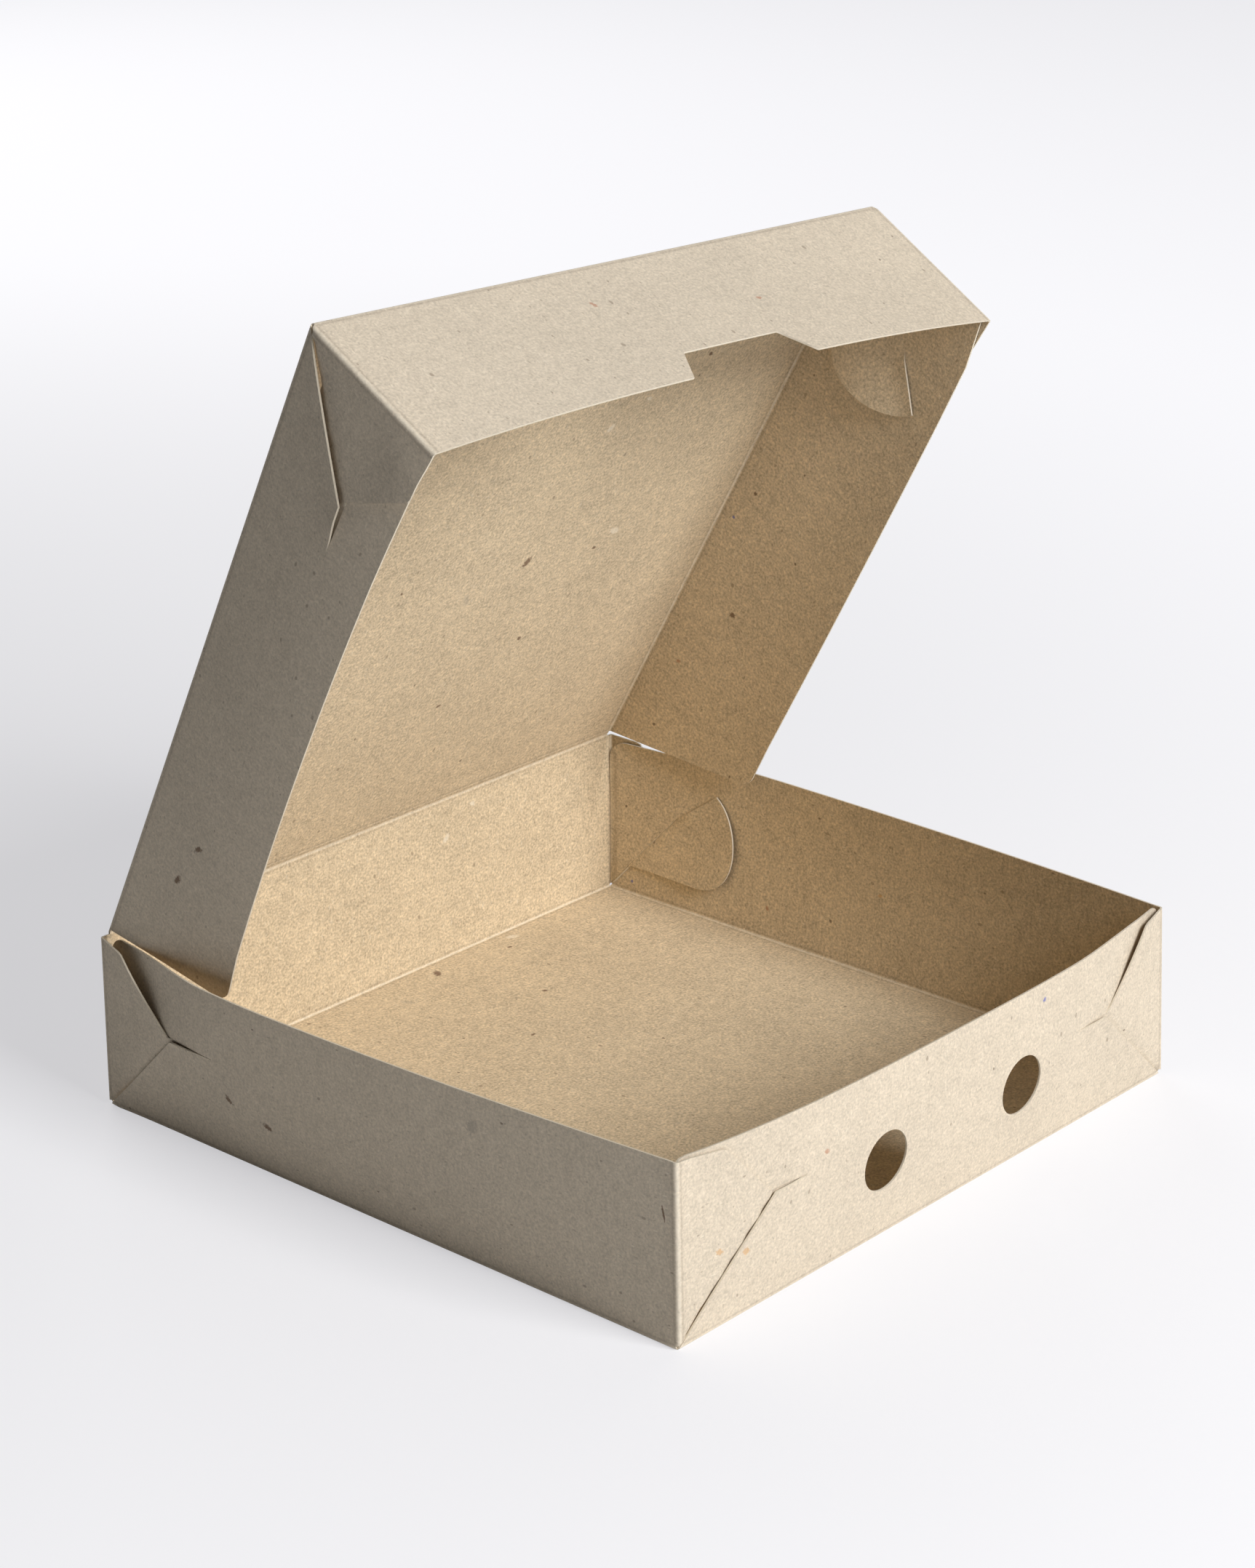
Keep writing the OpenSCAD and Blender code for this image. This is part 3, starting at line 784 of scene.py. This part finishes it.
# single spots that the photograph shows, by colour; places on the blank, the outside face 1000 further on
SPOTS = {
    (0.16, 0.09, 0.05): (0.85, (
        (17.9, 93.2, 1.75, 0.95, 60), (884.5, 34.4, 1.5, 0.8, -70), (880.9, 48.4, 1.3, 0.7, 137),
        (57.8, 156.0, 0.8, 0.6, -12), (117.3, 64.6, 1.0, 0.7, 24), (106.4, 101.9, 0.7, 0.5, 40),
        (5.8, 44.2, 0.85, 0.45, 16), (29.6, 61.8, 0.75, 0.55, -49), (45.5, 90.5, 0.75, 0.45, -16),
        (865.3, -96.4, 1.9, 0.3, -11), (1112.0, -116.0, 0.5, 0.35, 30), (-30.0, 96.0, 0.45, 0.4, 0))),
    (0.12, 0.14, 0.42): (0.75, ((1039.5, -144.1, 0.75, 0.5, -37), (103.7, 90.8, 0.5, 0.4, 40))),
    (0.42, 0.17, 0.09): (0.6, ((980.6, 211.5, 1.1, 0.55, 61), (1030.1, 221.5, 0.8, 0.6, 14),
                               (951.1, -134.1, 0.9, 0.6, 20), (108.9, 38.9, 0.7, 0.5, 42))),
    (0.62, 0.33, 0.11): (0.55, ((879.2, -114.0, 1.2, 0.7, -69), (123.8, -1.9, 0.7, 0.5, -74),
                                (923.0, -117.5, 1.2, 0.9, 30))),
    (0.27, 0.24, 0.20): (0.35, ((860.0, -38.9, 2.0, 1.4, -149), (-1.6, 85.5, 1.9, 0.9, -70))),
    (0.93, 0.86, 0.72): (0.45, ((28.9, 137.1, 1.5, 0.8, 44), (39.9, 144.7, 1.1, 0.6, -17),
                                (51.4, 95.1, 1.9, 1.0, -24))),
}


def board_group():
    """Shader node group: recycled board from its blank map. Colour mixes cloudy tone, fine mottling, pale and brown
    fibres, dark specks and the single spots, then adds painted shade beside each fold, a pale band on each fold that
    is partly wear and partly a painted highlight, and pale cut edges, partly a painted highlight; height holds the
    pressed fibre texture."""
    tree = bpy.data.node_groups.new("Recycled board", "ShaderNodeTree")
    face = tree.interface
    face.new_socket("Vector", in_out="INPUT", socket_type="NodeSocketVector")
    colours = (
        ("Board", (0.6, 0.5, 0.4, 1)), ("Inside", (0.6, 0.5, 0.35, 1)),
        ("Fleck", (0.1, 0.06, 0.04, 1)), ("Pale", (0.8, 0.7, 0.6, 1)),
    )
    for label, value in colours:
        face.new_socket(label, in_out="INPUT", socket_type="NodeSocketColor").default_value = value
    for label in ("Crease", "Cut"):
        face.new_socket(label, in_out="INPUT", socket_type="NodeSocketFloat").default_value = 0.0
    face.new_socket("Color", in_out="OUTPUT", socket_type="NodeSocketColor")
    face.new_socket("Roughness", in_out="OUTPUT", socket_type="NodeSocketFloat")
    face.new_socket("Height", in_out="OUTPUT", socket_type="NodeSocketFloat")
    come, go = node(tree, "NodeGroupInput"), node(tree, "NodeGroupOutput")
    link = tree.links.new
    vec = come.outputs["Vector"]
    wave = shifted(tree, vec, 300.0, 0.0012)

    cloud = noise(tree, vec, 45, 3, 0.55)
    tone = noise(tree, vec, 300, 3, 0.6)
    grain = noise(tree, wave, 1300, 4, 0.7)
    pale, fleck = come.outputs["Pale"], come.outputs["Fleck"]
    parts = node(tree, "ShaderNodeSeparateXYZ")
    link(vec, parts.inputs[0])
    inner = maths(tree, "LESS_THAN", parts.outputs[0], 0.5)
    board = mixed(tree, inner, come.outputs["Board"], come.outputs["Inside"])
    cloudy = ranged(tree, cloud, 0.3, 0.7, -0.03, 0.03)
    light = maths(tree, "ADD", cloudy, ranged(tree, tone, 0.3, 0.7, -0.06, 0.06))
    light = maths(tree, "ADD", light, ranged(tree, grain, 0.3, 0.7, -0.21, 0.21))
    light = maths(tree, "MULTIPLY", light, maths(tree, "ADD", maths(tree, "MULTIPLY", inner, 0.8), 1.0))
    value = maths(tree, "ADD", light, 1.0)
    grey = node(tree, "ShaderNodeCombineXYZ")
    for slot in grey.inputs:
        link(value, slot)
    colour = mixed(tree, 1.0, board, grey.outputs[0], "MULTIPLY")

    pulp = noise(tree, wave, 900, 4, 0.7, 0.4)
    colour = mixed(tree, ranged(tree, pulp, 0.54, 0.76, 0, 0.22), colour, pale)
    dull = noise(tree, vec, 700, 3, 0.6)
    colour = mixed(tree, ranged(tree, dull, 0.56, 0.78, 0, 0.24), colour, mixed(tree, 0.45, board, fleck))
    tints = {"pale": pale, "brown": mixed(tree, 0.62, board, fleck), "fleck": fleck}
    for scale, size, share, stretch, turn, seed, tint, amount in PULP:
        mask = specks(tree, wave, scale, size, share, stretch, turn, seed)
        colour = mixed(tree, maths(tree, "MULTIPLY", mask, amount), colour, tints[tint])
    edge = ranged(tree, noise(tree, vec, 1600, 2, 0.6), 0.3, 0.7, -0.35, 0.35)
    for tint, (amount, places) in SPOTS.items():
        mask = maths(tree, "MULTIPLY", spots(tree, vec, edge, places), amount)
        colour = mixed(tree, mask, colour, (*tint, 1.0))

    crease = come.outputs["Crease"]
    # pale band along each fold: partly the worn whitening of the crease and partly a painted highlight on its
    # rounded edge
    wear_and_highlight = ranged(tree, noise(tree, vec, 420, 3), 0.35, 0.62, 0.45, 1.0)
    fold_wear_and_highlight = maths(tree, "MULTIPLY", ranged(tree, crease, 0.55, 0.9, 0, 0.55), wear_and_highlight)
    # painted shade: a dark line on both sides of each fold, where the groove of the crease lies in shade
    crease_shade = maths(tree, "MULTIPLY", ranged(tree, crease, 0.06, 0.3), ranged(tree, crease, 0.66, 0.4))
    colour = mixed(tree, maths(tree, "MULTIPLY", crease_shade, 0.2), colour, fleck)
    colour = mixed(tree, fold_wear_and_highlight, colour, pale)
    # cut edges: the board's paler core, made brighter still as a painted highlight
    cut_core_and_highlight = mixed(tree, ranged(tree, noise(tree, vec, 900, 2), 0.35, 0.65, 0.45, 0.95), board, pale)
    colour = mixed(tree, come.outputs["Cut"], colour, cut_core_and_highlight)
    link(colour, go.inputs["Color"])

    fibre = noise(tree, wave, 1300, 4, 0.65, 0.5)
    lump = noise(tree, vec, 520, 3, 0.55)
    height = maths(tree, "ADD", maths(tree, "MULTIPLY", fibre, 0.6), maths(tree, "MULTIPLY", lump, 0.6))
    link(height, go.inputs["Height"])
    link(ranged(tree, lump, 0.3, 0.7, 0.78, 0.92), go.inputs["Roughness"])
    return tree


def board_material(name, slot_colour, settings):
    """Board: the shared group drives colour, roughness and bump of one rough surface with a faint sheen."""
    mat = bpy.data.materials.new(name)
    mat.use_nodes = True
    tree = mat.node_tree
    tree.nodes.clear()
    group = node(tree, "ShaderNodeGroup")
    group.node_tree = bpy.data.node_groups.get("Recycled board") or board_group()
    where = node(tree, "ShaderNodeUVMap", uv_map="blank")
    tree.links.new(where.outputs[0], group.inputs["Vector"])
    group.inputs["Board"].default_value = (*slot_colour, 1)
    group.inputs["Inside"].default_value = (*settings.inside_colour, 1)
    group.inputs["Fleck"].default_value = (*settings.fleck_colour, 1)
    group.inputs["Pale"].default_value = (*settings.pale_colour, 1)
    for label, attribute in (("Crease", "crease"), ("Cut", "cut")):
        read = node(tree, "ShaderNodeAttribute", attribute_name=attribute)
        tree.links.new(read.outputs["Fac"], group.inputs[label])
    surface = node(tree, "ShaderNodeBsdfPrincipled")
    surface.inputs["Specular IOR Level"].default_value = 0.3
    surface.inputs["Sheen Weight"].default_value = 0.06
    surface.inputs["Sheen Roughness"].default_value = 0.6
    bump = node(tree, "ShaderNodeBump", Strength=0.7, Distance=0.00017)
    out = node(tree, "ShaderNodeOutputMaterial")
    tree.links.new(group.outputs["Color"], surface.inputs["Base Color"])
    tree.links.new(group.outputs["Roughness"], surface.inputs["Roughness"])
    tree.links.new(group.outputs["Height"], bump.inputs["Height"])
    tree.links.new(bump.outputs[0], surface.inputs["Normal"])
    tree.links.new(surface.outputs[0], out.inputs["Surface"])
    return mat


def floor_material(colour):
    """Studio floor: matt and pale; what the camera sees of it glows towards white, a painted light that is weaker
    near the box's rear left and so paints a broad shade there, and its shadow is kept soft and pale."""
    mat = bpy.data.materials.new("Studio floor")
    mat.use_nodes = True
    tree = mat.node_tree
    tree.nodes.clear()
    matt = node(tree, "ShaderNodeBsdfPrincipled", Roughness=0.9)
    matt.inputs["Specular IOR Level"].default_value = 0.1
    path = node(tree, "ShaderNodeLightPath")
    seen = maths(tree, "MAXIMUM", path.outputs["Is Camera Ray"], path.outputs["Is Glossy Ray"])
    seen = maths(tree, "MAXIMUM", seen, path.outputs["Is Transmission Ray"])
    shown = mixed(tree, seen, (*colour, 1), (*(FLOOR_SHOWN * v for v in colour), 1))
    tree.links.new(shown, matt.inputs["Base Color"])
    where = node(tree, "ShaderNodeTexCoord")
    far = node(tree, "ShaderNodeVectorMath", operation="DISTANCE")
    tree.links.new(where.outputs["Object"], far.inputs[0])
    far.inputs[1].default_value = PAINTED_SHADE_CENTRE
    # painted light: a glow seen only by the camera, least near the box's rear left, where it paints a broad shade
    lift = ranged(tree, far.outputs["Value"], 0.2, 0.9, *FLOOR_LIFT)
    lift.node.interpolation_type = "SMOOTHSTEP"
    matt.inputs["Emission Color"].default_value = (0.97, 0.965, 1.0, 1)
    tree.links.new(maths(tree, "MULTIPLY", seen, lift), matt.inputs["Emission Strength"])
    out = node(tree, "ShaderNodeOutputMaterial")
    tree.links.new(matt.outputs[0], out.inputs["Surface"])
    return mat


# the floor as the camera sees it: share of its colour, and its painted glow near and far from the centre of the
# painted shade at the box's rear left
FLOOR_SHOWN, FLOOR_LIFT, PAINTED_SHADE_CENTRE = 0.415, (0.56, 0.75), (-0.1, 0.3, 0.0)

# camera found from the photograph: place, right, up and forward
EYE = (-0.68289, -0.60254, 0.4399)
RIGHT, UP, FORWARD = (0.66318, -0.74845, -0.00288), (0.27166, 0.23712, 0.93273), (0.69742, 0.61935, -0.36057)
FOCAL_PX, LONG_PX = 5155.3, 2156.0


def add_camera():
    """Camera at the photograph's place: the lens is the focal length in pixels over the long side, of 36 mm."""
    data = bpy.data.cameras.new("Camera")
    data.sensor_width = 36.0
    data.lens = FOCAL_PX * 36.0 / LONG_PX
    data.clip_end = 20.0
    ob = bpy.data.objects.new("Camera", data)
    turn = Matrix((RIGHT, UP, -Vector(FORWARD))).transposed()
    ob.matrix_world = Matrix.Translation(EYE) @ turn.to_4x4()
    bpy.context.scene.collection.objects.link(ob)
    bpy.context.scene.camera = ob


def add_panel(name, place, target, size, watts, colour):
    """Soft light: a square area lamp turned to its target."""
    data = bpy.data.lights.new(name, "AREA")
    data.shape, data.size, data.energy, data.color = "SQUARE", size, watts, colour
    ob = bpy.data.objects.new(name, data)
    way = (Vector(target) - Vector(place)).normalized()
    ob.matrix_world = Matrix.Translation(place) @ way.to_track_quat("-Z", "Y").to_matrix().to_4x4()
    bpy.context.scene.collection.objects.link(ob)


def add_world(level, colour):
    """Even light from all round."""
    world = bpy.data.worlds.new("Studio")
    world.use_nodes = True
    back = world.node_tree.nodes["Background"]
    back.inputs["Color"].default_value = (*colour, 1)
    back.inputs["Strength"].default_value = level
    bpy.context.scene.world = world


def add_floor(colour):
    """Floor: a disc of rings, flat, wide enough to fill the view from every side."""
    rings, spokes, radius = 6, 64, 6.0
    r = np.linspace(0.02, 1, rings)[:, None] * radius
    t = np.linspace(0, 2 * np.pi, spokes, endpoint=False)[None, :]
    co = np.stack([r * np.cos(t), r * np.sin(t), np.zeros((rings, spokes))], 2).reshape(-1, 3)
    i = np.arange(spokes)
    j = (i + 1) % spokes
    quads = [np.stack([k * spokes + i, (k + 1) * spokes + i, (k + 1) * spokes + j, k * spokes + j], 1)
             for k in range(rings - 1)]
    faces = np.vstack(quads).tolist() + [i.tolist()]
    me = bpy.data.meshes.new("studio_floor")
    me.from_pydata(co.tolist(), [], faces)
    me.materials.append(floor_material(colour))
    ob = bpy.data.objects.new("studio_floor", me)
    bpy.context.scene.collection.objects.link(ob)


def sizes(settings):
    """The settings as numbers in millimetres, for the shape functions."""
    return {
        "fold": settings.tray_side / MM / 2 - settings.board / MM / 2,
        "height": settings.tray_height / MM,
        "radius": settings.fold_radius / MM,
        "board": settings.board / MM,
        "half": settings.lid_half / MM,
        "length": settings.lid_length / MM,
        "rim_bow": settings.rim_bow / MM,
        "vent": settings.vent_diameter / MM,
        "step": settings.mesh_step / MM,
    }


class BOX_OT_tray(bpy.types.Operator):
    """Fold the tray from its blank"""

    bl_idname = "box.tray"
    bl_label = "Tray"

    def execute(self, context):
        settings = context.scene.box_settings
        c = sizes(settings)
        flat, tri = tray_blank(c)
        ob = fold_blank("tray_board", flat, tri, lambda q: place_tray(q, c), lambda q: tray_crease(q, c), c["board"])
        ob.data.materials.append(board_material("Tray board", settings.board_colour, settings))
        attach(ob, "tray")
        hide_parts("tray")
        return {"FINISHED"}


class BOX_OT_lid(bpy.types.Operator):
    """Fold the lid from its blank"""

    bl_idname = "box.lid"
    bl_label = "Lid"

    def execute(self, context):
        settings = context.scene.box_settings
        c = sizes(settings)
        flat, tri = lid_blank(c)
        ob = fold_blank("lid_board", flat, tri, lambda q: place_lid(q, c), lambda q: lid_crease(q, c), c["board"])
        ob.data.materials.append(board_material("Lid board", settings.board_colour, settings))
        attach(ob, "lid")
        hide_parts("lid")
        return {"FINISHED"}


class BOX_OT_crease(bpy.types.Operator):
    """Carry the board over the hinge crease"""

    bl_idname = "box.crease"
    bl_label = "Hinge crease"

    def execute(self, context):
        settings = context.scene.box_settings
        c = sizes(settings)
        flat, tri, place = crease_strip(c)
        ob = fold_blank(
            "hinge_crease", flat, tri, place, lambda q: np.exp(-((q[:, 1] / 1.0) ** 2)), c["board"] + 0.06
        )
        ob.data.materials.append(board_material("Crease board", settings.board_colour, settings))
        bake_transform(ob)
        return {"FINISHED"}


class BOX_OT_stage(bpy.types.Operator):
    """Set the camera, the floor and the lights"""

    bl_idname = "box.stage"
    bl_label = "Studio"

    def execute(self, context):
        settings = context.scene.box_settings
        add_camera()
        add_floor(settings.floor_colour)
        add_world(0.02, (1.0, 1.0, 1.0))
        add_panel("Key", (0.056, -1.592, 1.115), (0.0, 0.0, 0.08), 0.9, 42.5, (1.0, 1.0, 1.0))
        add_panel("Back", (0.6, 1.5, 1.0), (0.0, 0.0, 0.08), 1.2, 10.5, (1.0, 1.0, 1.0))
        scene = context.scene
        scene.view_settings.view_transform = "Standard"
        return {"FINISHED"}


class BOX_PT_panel(bpy.types.Panel):
    """Lists the steps that build the box"""

    bl_label = "Folded pastry box"
    bl_idname = "BOX_PT_panel"
    bl_space_type = "VIEW_3D"
    bl_region_type = "UI"
    bl_category = "Box"

    def draw(self, context):
        settings = context.scene.box_settings
        for key in BoxSettings.__annotations__:
            self.layout.prop(settings, key)
        for step in STEPS:
            self.layout.operator(step.bl_idname)


STEPS = (BOX_OT_stage, BOX_OT_tray, BOX_OT_lid, BOX_OT_crease)
CLASSES = (BoxSettings, *STEPS, BOX_PT_panel)


def register():
    for made in CLASSES:
        bpy.utils.register_class(made)
    bpy.types.Scene.box_settings = bpy.props.PointerProperty(type=BoxSettings)


def unregister():
    del bpy.types.Scene.box_settings
    for made in reversed(CLASSES):
        bpy.utils.unregister_class(made)


def main():
    register()
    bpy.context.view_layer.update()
    bpy.ops.box.stage()
    bpy.ops.box.tray()
    bpy.ops.box.lid()
    bpy.ops.box.crease()


if __name__ == "__main__":
    main()
